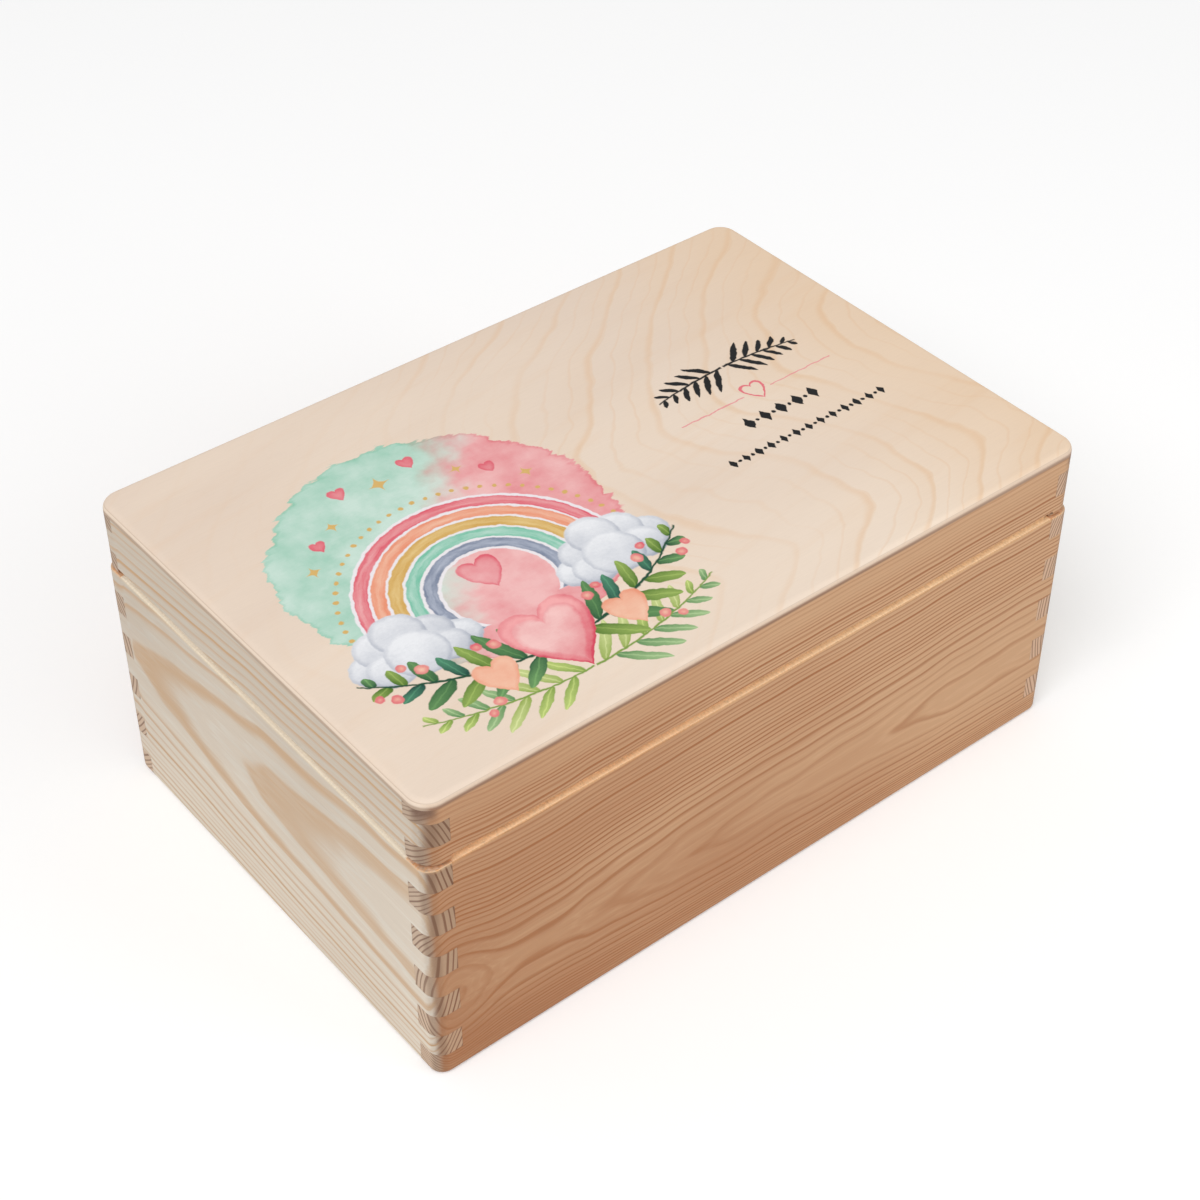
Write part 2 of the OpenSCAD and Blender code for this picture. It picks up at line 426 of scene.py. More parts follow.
@dataclass(frozen=True)
class Timber:
    """The colours and the ring pattern of one kind of pine.

    A ring goes from `early` to `late` wood, and `blush` is a second, darker wood colour, whose share is
    `deepness` with the slope `trend`, so that a board darkens across its face. Late wood starts
    `late_start` into a ring, later by `later` for each ring outwards but never sooner by more than
    `sooner`, and darkens over `late_rise`. `gain` is how much it strengthens outwards. The end grain's
    rings lie `end_scale` times as close, and `end_fade` darkens it with its height. A cut is `sawn` where
    it is flat and `arris` elsewhere, with a deeper orange in places that `mellow` ties to the blush; the
    cut colours are partly lightened above the fresh wood's own to paint a highlight and the light
    bounced along the seam. `torn` is how rough it is. Rings fade above `calm`.
    """

    early: Colour
    late: Colour
    blush: Colour
    end_early: Colour
    end_late: Colour
    end_contrast: float
    end_fade: float
    end_scale: float
    sawn: Colour
    arris: Colour
    deep_cut_and_glow: Colour
    late_start: float
    late_rise: float
    gain: float
    later: float
    sooner: float
    mellow: float
    torn: float
    trend: Triple
    deepness: float
    contrast: float = 0.76
    calm: float = 1000.0


TAN = Timber(
    early=paint(215, 173, 134),
    late=paint(170, 110, 66),
    blush=paint(180, 126, 88),
    end_early=paint(208, 182, 158),
    end_late=paint(108, 66, 40),
    end_contrast=0.66,
    end_fade=0.002,
    end_scale=1.0,
    # The cut colours below are partly lightened to paint a highlight and light bounced in the seam.
    sawn=paint(250, 221, 184),
    arris=paint(222, 177, 132),
    deep_cut_and_glow=paint(232, 150, 84),
    late_start=0.56,
    late_rise=0.3,
    gain=0.55,
    later=-0.02,
    sooner=0.12,
    mellow=0.5,
    torn=0.7,
    trend=(-0.0028, 0.0, -0.0035),
    deepness=0.45,
)
CREAM = Timber(
    early=paint(237, 227, 212),
    late=paint(206, 164, 118),
    blush=paint(212, 201, 186),
    end_early=paint(215, 180, 151),
    end_late=paint(130, 86, 58),
    end_contrast=0.8,
    end_fade=0.0006,
    end_scale=0.94,
    sawn=paint(238, 227, 210),
    arris=paint(230, 214, 188),
    deep_cut_and_glow=paint(228, 170, 112),
    late_start=0.47,
    late_rise=0.38,
    gain=0.12,
    later=0.12,
    sooner=0.26,
    mellow=0.0,
    torn=0.3,
    trend=(0.0, 0.002, 0.0093),
    deepness=-0.1,
)


@dataclass(frozen=True)
class PineFinish:
    """Sanded bare pine, sawn from one tree, with its rings, fibres, end grain and sawn edges."""

    name: str
    heart: Heart
    joinery: Joinery
    timber: Timber
    # Colour of the painted shade along the rounded upright corners.
    corner_shade_colour: Colour = paint(122, 92, 72)
    glue: Colour = paint(112, 76, 50)
    # Colour of the painted shadow under the top panel.
    under_panel_shadow: Colour = paint(122, 92, 76)

    def build(self) -> bpy.types.Material:
        """Builds the board's material.

        Returns:
            The material.
        """
        graph = Graph(bpy.data.materials.new(self.name))
        heart, timber, top = self.heart, self.timber, self.joinery.lid_high
        place, facing = graph.place(), graph.facing()
        upward = graph.part(facing, "Z")
        along = place.dot(heart.grain.value)
        outward = place.dot(heart.outward.value)
        depth = outward - heart.face
        height = graph.part(place, "Z")
        phase = self._rings(graph, along, depth, height)
        late, tip_late = self._late_wood(graph, phase, height)

        end = abs(facing.dot(heart.grain.value)).ramp(0.45, 0.85)
        fibre = graph.noise(graph.vector(along * 0.035, depth * 1.4, height * 1.4), 1.6, 3.0, 0.62)
        streak = graph.noise(graph.vector(along * 0.012 + heart.seed, depth * 0.35, height * 0.42))
        cloud_at = graph.vector(along * 0.008, depth * 0.05, height * 0.018 + heart.seed)
        cloud = graph.noise(cloud_at, detail=1.0)
        ticks = graph.noise(graph.vector(along * 0.16, depth * 3.2, height * 3.2), detail=1.0)
        between = abs((phase * 2.7 + streak * 2.0).fraction() - 0.5).ramp(0.5, 0.2)
        tone = place.dot(timber.trend) + timber.deepness + (cloud + streak * 0.5) * 1.3
        side = graph.over(timber.early, timber.blush, tone)
        side = graph.over(side, timber.late, late * timber.contrast + between * 0.13)
        tip = graph.over(timber.end_early, timber.end_late, tip_late * timber.end_contrast)
        tip = graph.lighten(tip, 1.0 + (60.0 - height) * timber.end_fade)
        shade = 1.0 + fibre * 0.16 + streak * 0.06 - ticks.ramp(0.17, 0.3) * 0.09
        wood = graph.lighten(graph.over(side, tip, end), shade)

        fleck = graph.noise(graph.vector(along * 0.9, outward * 0.5, height * 0.5), 1.2, 2.0, 0.75)
        # Painted highlight: the fresh cuts round the seam take cut colours lighter than the wood, and the
        # downward bevel takes the lightest, for light bounced in the seam.
        bevel, sawn = self._cuts(height, upward)
        cut = graph.over(timber.arris, timber.sawn, abs(upward).ramp(0.75, 0.98).most(bevel))
        mellow = self.joinery.corner(graph, place).most(tone * timber.mellow) * (fleck * 1.6 + 0.6)
        rough = graph.over(graph.over(cut, timber.deep_cut_and_glow, mellow), timber.late, late * 0.12)
        wood = graph.over(wood, graph.lighten(rough, 1.0 + fleck * timber.torn), sawn)

        # Painted shade along the rounded upright corners, where the surface turns between two faces,
        # stronger on end grain.
        corner_shade = abs(graph.part(facing, "X") * graph.part(facing, "Y")).ramp(0.03, 0.45)
        wood = graph.over(wood, self.corner_shade_colour, corner_shade * (end * 0.25 + 0.22 + fibre * 0.4))
        seams = self.joinery.seams(graph, place) * (graph.noise(place, 0.55, 1.0) * 1.6 + 0.5)
        wood = graph.over(wood, self.glue, seams * 0.6)
        # Painted shadow on the boards just under the top panel, along the dark joint line, reaching lower at
        # the rounded corners.
        shadow = height.ramp(top - 0.7, top).most(height.ramp(top - 6.0, top - 1.0) * corner_shade * 1.3)
        wood = graph.over(wood, self.under_panel_shadow, shadow * (0.3 + corner_shade * 0.35 + fibre * 0.2))

        relief = late * 0.05 + fibre * 0.06 - seams * 0.12 + sawn * fleck * timber.torn
        roughness = 0.62 + fibre * 0.16 - late * 0.08 + sawn * 0.2
        return graph.finish(wood, roughness, relief, 0.55, {"Specular IOR Level": 0.32})

    def _late_wood(self, graph: Graph, phase: Wire, height: Wire) -> tuple[Wire, Wire]:
        """Marks the dark late wood of each ring.

        Args:
            graph: The material's graph.
            phase: The number of rings, whose fraction is the place in the ring.
            height: The height above the foot.

        Returns:
            The late wood on the long grain and on the end grain.
        """
        heart, timber = self.heart, self.timber
        ring, step = phase.whole(), phase.fraction()
        outer = (phase - heart.shift).ramp(-1.0, 3.0) * timber.gain + (1.0 - timber.gain * 0.5)
        strength = (graph.dice(ring + heart.seed) * 0.5 + 0.52) * outer
        strength = strength * (1.0 - height.ramp(timber.calm - 3.0, timber.calm + 3.0) * 0.65)
        shift = ((ring - heart.shift) * timber.later).most(-timber.sooner).least(0.05)
        start = graph.dice(ring + heart.seed + 0.5) * 0.2 + (timber.late_start - 0.1) + shift
        late = (step - start).ramp(0.0, timber.late_rise) * step.ramp(1.0, 0.88) * strength
        end_step = (phase * timber.end_scale).fraction()
        return late, end_step.ramp(0.52, 0.7) * end_step.ramp(0.98, 0.86) * (strength * 0.4 + 0.6)

    def _rings(self, graph: Graph, along: Wire, depth: Wire, height: Wire) -> Wire:
        """Counts the growth rings from the heart out to a place in the wood.

        Args:
            graph: The material's graph.
            along: The place along the grain.
            depth: How far outside the board's face it is, negative in the board.
            height: Its height above the foot.

        Returns:
            The number of rings, whose fraction is the place in the ring.
        """
        heart = self.heart
        seeded = graph.vector(along * 0.009 + heart.seed, depth * 0.022, height * 0.022)
        sway = graph.noise(seeded, detail=3.0, roughness=0.55) * heart.sway
        reach = graph.profile(along, heart.run) - depth
        rise = height - heart.height
        rise = rise * (1.0 - rise.least(0.0) * heart.squeeze)
        fold = ((rise ** 2.0 + 4.0).root() - 2.0) * heart.pinch
        radius = (reach ** 2.0 + rise ** 2.0 + fold).root() + sway
        past = radius - heart.aged
        past = ((past ** 2.0 + 9.0).root() + past) * 0.5
        phase = radius / heart.young + past * (1.0 / heart.old - 1.0 / heart.young)
        waved = graph.vector(along * 0.034 + heart.seed, depth * 0.06, height * 0.06)
        phase = phase + graph.noise(waved, detail=1.0) * (heart.sway * 0.3)
        phase = phase + (heart.shift - heart.middle / heart.young)
        return phase + graph.noise_along(radius + heart.seed, 0.16) * 0.9

    def _cuts(self, height: Wire, upward: Wire) -> tuple[Wire, Wire]:
        """Marks what the saw and the cutter left between the box and its lid, where lightened cut colours
        paint a highlight and light bounced along the seam.

        Args:
            height: The height above the foot.
            upward: How far the surface faces up, from -1 to 1.

        Returns:
            The bevel that looks down along the lid's lower edge, which the lightest cut colour paints as lit
            though it lies in shade, and all the fresh cuts.
        """
        rim, lid = self.joinery.rim, self.joinery.lid_low
        rim_cut = height.ramp(rim - 1.7, rim - 0.3) * height.ramp(lid + 0.3, lid + 0.05)
        bevel = height.ramp(lid - 0.2, lid) * height.ramp(lid + 6.0, lid + 5.0) * upward.ramp(-0.3, -0.6)
        return bevel, (rim_cut * (abs(upward).ramp(0.3, 0.7) * 0.6 + 0.4)).most(bevel)


@dataclass(frozen=True)
class PlyFinish:
    """Sanded birch plywood of three plies, with a rotary-cut figure on its faces."""

    name: str
    low: float
    high: float
    seed: float
    decoration: Optional["LidPrint"] = None
    pale: Colour = paint(245, 227, 208)
    rosy: Colour = paint(232, 212, 194)
    amber: Colour = paint(237, 205, 170)
    figure: Colour = paint(228, 180, 130)
    core: Colour = paint(206, 172, 142)
    # Also the colour of the painted shade on the panel's end edges.
    glue: Colour = paint(150, 122, 100)
    # Colour of the painted shade on the lower part of the panel's edge.
    lower_edge_shade: Colour = paint(142, 98, 70)

    def build(self) -> bpy.types.Material:
        """Builds the panel's material.

        Returns:
            The material.
        """
        graph = Graph(bpy.data.materials.new(self.name))
        place = graph.place()
        facing = graph.facing()
        x = graph.part(place, "X")
        y = graph.part(place, "Y")
        z = graph.part(place, "Z")
        line, wash, cloud = self._figure(graph, x, y)
        fibre = graph.noise(graph.vector(x * 0.06, y * 1.1, z * 1.1), 1.5, 3.0, 0.62)
        ticks = graph.noise(graph.vector(x * 0.3, y * 2.6, 5.0), 1.0, 1.0).ramp(0.16, 0.3)
        # The veneer turns rosier and darker towards the back: painted shade for the light falling off across
        # the top.
        veneer = graph.over(self.pale, self.rosy, y * 0.0025 + 0.6 + cloud * 1.4 - x * 0.001)
        veneer = graph.over(veneer, self.amber, x.ramp(48.0, 165.0) * 0.6 + wash * 0.14)
        veneer = graph.over(veneer, self.figure, line * 0.3)
        roughness = 0.56 + fibre * 0.14 + line * 0.05
        if self.decoration:
            top = graph.part(facing, "Z").ramp(0.6, 0.85)
            veneer, roughness = self.decoration.apply(graph, x, y, top, veneer, roughness)
        veneer = graph.lighten(veneer, 1.0 + fibre * 0.07 - ticks * 0.045)

        ply = (self.high - self.low) / 3.0
        inner = z.ramp(self.low + ply - 0.05, self.low + ply + 0.05)
        inner = inner * z.ramp(self.high - ply + 0.05, self.high - ply - 0.05)
        upright = abs(graph.part(facing, "Z")).ramp(0.85, 0.45)
        ends = abs(graph.part(facing, "X")).ramp(0.4, 0.8)
        across = abs(inner - ends)
        pores = graph.noise(place, 2.3, 2.0, 0.6)
        layer = graph.over(self.pale, self.core, across * 0.3 + 0.15)
        layer = graph.lighten(layer, 1.0 + pores * 0.2 * across)
        joint_low = abs(z - (self.low + ply)).ramp(0.14, 0.03)
        joint_high = abs(z - (self.high - ply + 0.15)).ramp(0.2, 0.04)
        layer = graph.over(layer, self.glue, joint_low * 0.2 + joint_high * 0.42)
        wood = graph.over(veneer, layer, upright)
        # Painted shade down the lower part of the panel's edge, with the dark joint line at its foot; greyer
        # on the end edges and fainter towards the right.
        foot = z.ramp(self.high - 1.6, self.low + 0.6) * upright
        depth = 0.86 - ends * 0.36 - x.ramp(20.0, 120.0) * 0.14
        wood = graph.over(wood, graph.over(self.lower_edge_shade, self.glue, ends), foot * depth)
        relief = fibre * 0.035 - ticks * 0.03
        return graph.finish(wood, roughness, relief, 0.5, {"Specular IOR Level": 0.16})

    def _figure(self, graph: Graph, x: Wire, y: Wire) -> tuple[Wire, Wire, Wire]:
        """Draws the veneer's contour lines, which bend to arrowheads as the peeling knife makes them.

        Args:
            graph: The material's graph.
            x: The place along the panel.
            y: The place across it.

        Returns:
            The lines, the soft wash beside each, and the slow change of colour.
        """
        broad = graph.noise(graph.vector(x * 0.009 + self.seed, y * 0.012), 1.0, 1.0, 0.4)
        curl = graph.noise(graph.vector(x * 0.03, y * 0.05 + self.seed), 1.0, 2.0, 0.5)
        past_low = y + 78.0
        low_tip = (past_low ** 2.0 + 40.0).root() * 0.029 - past_low * 0.011
        past_turn = y - 4.0
        high_tip = ((past_turn ** 2.0 + 300.0).root() + past_turn) * 0.026
        phase = x * 0.030 + low_tip - high_tip + broad * 1.8 + curl * 0.3
        step = phase.fraction()
        faint = graph.noise(graph.vector(x * 0.014, y * 0.02 + self.seed, 3.0), 1.0, 1.0).ramp(-0.3, 0.2)
        clear = x.ramp(-60.0, 20.0) * 0.85 + 0.15
        line = step.ramp(0.84, 0.94) * step.ramp(1.0, 0.95) * (faint * 0.7 + 0.3)
        echo = (phase * 3.0 + curl * 0.5).fraction()
        line = line.most(echo.ramp(0.78, 0.9) * echo.ramp(1.0, 0.92) * faint * 0.6) * clear
        lean = y - x * 0.16
        streaks = graph.noise(graph.vector(x * 0.012, lean * 0.11 + self.seed, 9.0), 1.0, 3.0, 0.6)
        line = line + streaks.ramp(0.0, 0.3) * 0.42
        wash = step.ramp(0.2, 0.9) * faint * clear
        cloud = graph.noise(graph.vector(x * 0.006, lean * 0.02 + self.seed, 7.0), 1.0, 2.0)
        return line, wash, cloud


class Painting:
    """A print while it is laid on the wood, from its lowest motif to its topmost."""

    def __init__(self, graph: Graph, x: Wire, y: Wire, wood: Wire) -> None:
        """Starts a print on bare wood.

        Args:
            graph: The material's graph.
            x: The place along the lid from its left end, in millimetres.
            y: The place across it from its front edge.
            wood: The wood's colour.
        """
        self.graph = graph
        self.colour = wood
        self.cover = graph.math("MULTIPLY", 0.0, 0.0)
        at = graph.vector(x, y)
        values = {"Vector": at, "Scale": 0.3, "Detail": 2.0}
        waver = graph.node("ShaderNodeTexNoise", {"noise_dimensions": "3D"}, values, "Color")
        waver = graph.vector_math("SUBTRACT", waver, (0.5, 0.5, 0.5))
        self.at = graph.vector_math("ADD", at, graph.vector_math("MULTIPLY", waver, (1.5, 1.5, 0.0)))
        self.x = graph.part(self.at, "X")
        self.y = graph.part(self.at, "Y")
        self.bloom = graph.noise(at, 0.06, 3.0, 0.55)
        self.grain = graph.noise(at, 0.8, 3.0, 0.7)

    def mirrored(self, middle: float) -> Wire:
        """Folds the lid about an upright line, so that one motif is laid on both sides of it."""
        return self.graph.vector(abs(self.x - middle), self.y)

    def lay(self, edge: Wire, light: Ink, dark: Ink, tone: Value, share: float = 1.0,
            rim: float = 0.35, soft: float = 0.3) -> None:
        """Lays one motif in watercolour, which pools along its edge.

        Args:
            edge: The distance from the motif's edge, negative inside.
            light: The ink where it is thin.
            dark: The ink where it is thick.
            tone: How thick it is, 0 to 1.
            share: How much of the wood it hides.
            rim: How much darker its edge dries.
            soft: Half the width of its edge.
        """
        body = edge.ramp(soft, -soft) * share
        depth = edge.ramp(-2.4, -0.2) * rim + tone + self.grain * 0.25
        ink = self.graph.over(light, dark, depth)
        self.colour = self.graph.over(self.colour, ink, body)
        self.cover = self.cover.most(body)

    def heart(self, at: Wire, middle: Pair, size: float) -> Wire:
        """Measures the distance from the edge of a heart.

        Args:
            at: The place on the lid.
            middle: The heart's middle.
            size: Half its width.

        Returns:
            The distance, negative inside.
        """
        graph = self.graph
        local = graph.vector_math("SUBTRACT", at, (middle[0], middle[1], 0.0))
        aside = abs(graph.part(local, "X")) / size
        lift = graph.part(local, "Y") / (size * 0.94) + 0.2 - aside ** 0.667 * 0.8
        return (aside.diagonal(lift) - 1.0) * size

    def sparkle(self, at: Wire, middle: Pair, size: float) -> Wire:
        """Measures the distance from the edge of a four-pointed star.

        Args:
            at: The place on the lid.
            middle: The star's middle.
            size: Half its width.

        Returns:
            The distance, negative inside.
        """
        graph = self.graph
        local = graph.vector_math("SUBTRACT", at, (middle[0], middle[1], 0.0))
        aside = abs(graph.part(local, "X")).root() + abs(graph.part(local, "Y")).root()
        return (aside ** 2.0 - size) * 0.35


@dataclass(frozen=True)
class LeafSpray:
    """Two mirrored sprays of leaves along a bent stem, which meet in the middle."""

    middle: float
    centre: float
    radius: float
    cells: int
    pitch: float
    leaf: float
    width: float
    lean: float
    stem: float
    seed: float
    light: tuple[Colour, ...]
    dark: tuple[Colour, ...]

    def lay(self, art: Painting, rim: float = 0.2) -> None:
        """Lays the leaves and then their stem.

        Args:
            art: The print that they are laid on.
            rim: How much darker a leaf's edge dries.
        """
        graph = art.graph
        at = art.mirrored(self.middle)
        aside = graph.part(at, "X")
        rise = abs(graph.part(at, "Y") - self.centre)
        along = graph.math("ARCTAN2", aside, rise) * self.radius
        off = aside.diagonal(rise) - self.radius
        stand = abs(off)
        side = off.ramp(-0.01, 0.01)
        length = self.cells * self.pitch
        cells = (along - stand * self.lean) / self.pitch + side * 0.5
        number = cells.whole()
        half = (art.x - self.middle).ramp(-0.01, 0.01)
        chance = graph.dice(number + side * 37.3 + half * 11.9 + self.seed)
        across = abs(cells.fraction() - 0.5) * self.pitch
        taper = along.ramp(length * 1.4, length * 0.3) * (chance * 0.35 + 0.75)
        reach = (stand / (taper * self.leaf)).least(1.0)
        swell = (reach * (1.0 - reach) * (1.35 - reach * 0.7) * 4.0).root() * self.width
        edge = (across - swell * (taper * 0.4 + 0.6) + 0.3).most((side - number - 0.5) * 4.0)
        edge = edge.most((number - self.cells + 0.5) * 4.0)
        rib = across.ramp(0.1, 0.55) * 0.35
        tone = 0.45 - reach * 0.75 + rib + art.bloom * 0.5
        art.lay(edge, graph.palette(chance, self.light), graph.palette(chance, self.dark), tone, rim=rim)
        line = (stand - self.stem * (taper * 0.6 + 0.4)).most(self.stem - along)
        art.lay(line.most(along - length), self.dark[0], self.dark[0], 0.5, rim=0.0)


@dataclass(frozen=True)
class LidPrint:
    """A soft print of plain nursery motifs on the lid, laid out in millimetres from its front left.

    A round wash of mint and rose carries a rainbow that stands on two clouds, over a garland of
    leaves with hearts. A dark sprig, a rose line with a heart and rows of beads stand to the right.
    """

    half_length: float
    half_width: float
    middle: float = 84.0
    side_middle: float = 229.0
    wash_level: float = 100.0
    arch_level: float = 70.0
    ink: Colour = paint(4, 6, 8)
    rose: Colour = paint(226, 96, 112)
    blush: Colour = paint(247, 190, 190)
    peach: Colour = paint(250, 205, 178)
    apricot: Colour = paint(238, 150, 118)
    mint: Colour = paint(122, 196, 168)
    pale_mint: Colour = paint(205, 232, 220)
    gold: Colour = paint(214, 170, 92)
    pale_gold: Colour = paint(240, 212, 150)
    slate: Colour = paint(128, 138, 160)
    mist: Colour = paint(242, 243, 246)

    def apply(self, graph: Graph, x: Wire, y: Wire, top: Wire, wood: Wire, roughness: Wire
              ) -> tuple[Wire, Wire]:
        """Lays the print over the wood.

        Args:
            graph: The panel's graph.
            x: The place along the box.
            y: The place across it.
            top: 1 on the panel's upper face and 0 round its edge.
            wood: The bare wood's colour.
            roughness: The bare wood's roughness.

        Returns:
            The printed colour and roughness.
        """
        art = Painting(graph, x + self.half_length, y + self.half_width, wood)
        for lay in (self._wash, self._rainbow, self._clouds, self._garland,
                    self._sparkles, self._sprig, self._heart_line, self._beads):
            lay(art)
        shown = graph.over(wood, art.colour, top)
        return shown, roughness - art.cover * top * 0.08

    def _wash(self, art: Painting) -> None:
        """Lays the round wash, mint at the upper left and rose at the lower right.

        Args:
            art: The print.
        """
        graph = art.graph
        brush = graph.noise(graph.vector(art.x * 0.06, art.y * 0.3), 1.0, 3.0, 0.6)
        edge = art.at.gap((self.middle, self.wash_level, 0.0)) - 63.0 + brush * 8.0 + art.bloom * 12.0
        turn = (art.x - self.middle) * 0.011 - (art.y - self.wash_level) * 0.007 + art.bloom * 0.5
        turn = turn.ramp(-0.16, 0.16)
        light = graph.over(self.pale_mint, self.blush, turn)
        dark = graph.over(self.mint, self.rose, turn)
        tone = art.bloom * 1.6 + 0.4 - edge.ramp(-4.0, -50.0) * 0.45
        art.lay(edge, light, dark, tone, share=0.93, rim=0.28, soft=0.45)

    def _rainbow(self, art: Painting) -> None:
        """Lays the rainbow's five bands on a pale ground, and an arch of dots over it.

        Args:
            art: The print.
        """
        graph = art.graph
        outer, inner, bands = 51.0, 21.0, 5
        step = (outer - inner) / bands
        distance = art.at.gap((self.middle, self.arch_level, 0.0))
        foot = 56.0 - art.y
        ground = (distance - outer - 0.7).most(inner - 0.7 - distance).most(foot)
        art.lay(ground, self.mist, self.blush, 0.12, rim=0.0)
        level = (outer - distance) / step
        edge = (abs(level.fraction() - 0.5) * step - step * 0.5 + 0.55).most(distance - outer)
        edge = edge.most(inner - distance).most(foot) + art.bloom * 0.8
        dark = (self.rose, self.apricot, self.gold, self.mint, self.slate)
        light = (self.blush, self.peach, self.pale_gold, self.pale_mint, paint(200, 206, 220))
        pick = (level.whole() + 0.5) / bands
        angle = graph.math("ARCTAN2", art.y - self.arch_level, art.x - self.middle)
        stroke = graph.noise(graph.vector(angle * 2.4, distance * 0.5, level.whole()), 1.0, 2.0, 0.6)
        tone = stroke * 1.5 + 0.55
        art.lay(edge, graph.palette(pick, light), graph.palette(pick, dark), tone, rim=0.3)
        arch, pitch = 56.5, 5.2
        bead = ((angle * (arch / pitch)).fraction() - 0.5) * pitch
        dots = abs(distance - arch).diagonal(bead) - 0.95
        art.lay(dots.most(64.0 - art.y), self.pale_gold, self.gold, 0.8, rim=0.0)

    def _clouds(self, art: Painting) -> None:
        """Lays a cloud of soft puffs under each foot of the rainbow.

        Args:
            art: The print.
        """
        at = art.mirrored(self.middle)
        puffs = (
            (25.0, 59.0, 7.5), (59.0, 62.0, 8.0), (33.0, 66.0, 9.0), (51.0, 69.0, 9.5),
            (42.0, 72.0, 10.0), (31.0, 57.0, 8.0), (54.0, 58.0, 8.5), (42.0, 60.0, 11.5),
        )
        for number, (aside, level, size) in enumerate(puffs):
            edge = at.gap((aside, level, 0.0)) - size
            tone = (level - art.y) / size * 0.24 + art.bloom * 0.7 + 0.16 + number % 3 * 0.05
            art.lay(edge, self.mist, self.slate, tone, rim=0.24, soft=0.4)

    def _garland(self, art: Painting) -> None:
        """Lays the leaves, berries and hearts along the foot of the print.

        Args:
            art: The print.
        """
        pale_leaves = (paint(206, 222, 134), paint(176, 205, 150), paint(219, 228, 160))
        olive_leaves = (paint(128, 158, 70), paint(92, 140, 86), paint(150, 172, 84))
        green_leaves = (paint(120, 168, 104), paint(86, 150, 116), paint(158, 184, 96), paint(104, 150, 92))
        deep_leaves = (paint(22, 74, 50), paint(16, 66, 58), paint(74, 112, 36), paint(34, 86, 52))
        back = LeafSpray(
            self.middle, centre=178.0, radius=160.0, cells=7, pitch=9.0, leaf=15.0, width=3.1, lean=0.85,
            stem=0.45, seed=5.3, light=pale_leaves, dark=olive_leaves,
        )
        back.lay(art)
        front = LeafSpray(
            self.middle, centre=140.0, radius=106.0, cells=7, pitch=10.5, leaf=17.5, width=3.9, lean=0.7,
            stem=0.6, seed=1.7, light=green_leaves, dark=deep_leaves,
        )
        front.lay(art)
        at = art.mirrored(self.middle)
        berries = ((20.0, 47.5, 2.3), (25.5, 50.0, 1.9), (46.0, 52.5, 2.4), (51.0, 57.0, 1.9),
                   (35.0, 24.0, 2.2), (40.0, 20.5, 1.8), (60.5, 45.5, 2.2), (65.0, 49.0, 1.7))
        edges = [at.gap((aside, level, 0.0)) - size for aside, level, size in berries]
        art.lay(reduce(Wire.least, edges), self.peach, self.rose, art.bloom * 1.2 + 0.3, rim=0.5)
        side = art.heart(at, (27.5, 33.0), 8.0)
        art.lay(side, self.peach, self.apricot, art.bloom * 1.6 + 0.3, rim=0.3)
        main = art.heart(art.at, (self.middle, 37.0), 16.5)
        shade = art.y * -0.022 + 1.2 + art.bloom * 1.6
        art.lay(main, paint(250, 176, 176), paint(216, 74, 96), shade, rim=0.4)
        inner = main + 3.6 + art.bloom * 4.0
        glow = art.at.gap((self.middle - 5.0, 44.0, 0.0)).ramp(20.0, 2.0)
        art.lay(inner, paint(253, 222, 216), self.rose, 0.45 - glow * 0.5 + art.bloom, share=0.6)

    def _sparkles(self, art: Painting) -> None:
        """Lays gold stars and small hearts round the rainbow.

        Args:
            art: The print.
        """
        at = art.mirrored(self.middle)
        for aside, level, size in ((0.0, 143.0, 5.2), (27.0, 133.0, 3.4), (46.0, 116.0, 3.8)):
            art.lay(art.sparkle(at, (aside, level), size), self.pale_gold, self.gold, 0.75, rim=0.0)
        small = art.heart(at, (15.0, 147.0), 3.4).least(art.heart(at, (37.0, 126.5), 3.0))
        art.lay(small, self.blush, self.rose, art.bloom + 0.7, rim=0.2)
        core = art.heart(art.at, (self.middle, 79.0), 8.0)
        art.lay(core, self.blush, self.rose, art.bloom * 1.5 + 0.45, rim=0.35)

    def _sprig(self, art: Painting) -> None:
        """Lays the dark sprig of laurel.

        Args:
            art: The print.
        """
        sprig = LeafSpray(
            self.side_middle, centre=-40.0, radius=160.5, cells=6, pitch=5.8, leaf=11.5, width=2.0,
            lean=0.75, stem=0.55, seed=9.1, light=(self.ink,), dark=(self.ink,),
        )
        sprig.lay(art)

    def _heart_line(self, art: Painting) -> None:
        """Lays the fine rose line with its hand-drawn heart.

        Args:
            art: The print.
        """
        aside = abs(art.x - self.side_middle)
        line = (abs(art.y - 100.3) - 0.28).most(aside - 37.5).most(6.6 - aside)
        art.lay(line, paint(240, 166, 166), self.rose, 0.25, rim=0.0, soft=0.2)
        outline = abs(art.heart(art.at, (self.side_middle, 101.0), 4.6)) - 0.52 + art.grain * 0.4
        art.lay(outline, paint(240, 140, 144), self.rose, 0.5, rim=0.0, soft=0.2)

    def _beads(self, art: Painting) -> None:
        """Lays two rows of diamonds with dots between them, in dark ink.

        Args:
            art: The print.
        """
        aside = abs(art.x - self.side_middle)
        rows = (
            (86.5, 8.0, 2.3, 0.85, 20.0, 17.0),
            (71.5, 6.2, 1.55, 0.8, 39.0, 39.0),
        )
        edges = []
        for line, pitch, diamond, dot, diamonds_end, dots_end in rows:
            level = art.y - line
            bead = abs((aside / pitch + 0.5).fraction() - 0.5) * pitch
            edges.append((bead + abs(level) * 0.6 - diamond).most(aside - diamonds_end))
            edges.append(((bead - pitch * 0.5).diagonal(level) - dot).most(aside - dots_end))
        art.lay(reduce(Wire.least, edges), self.ink, self.ink, 0.5, rim=0.0, soft=0.2)


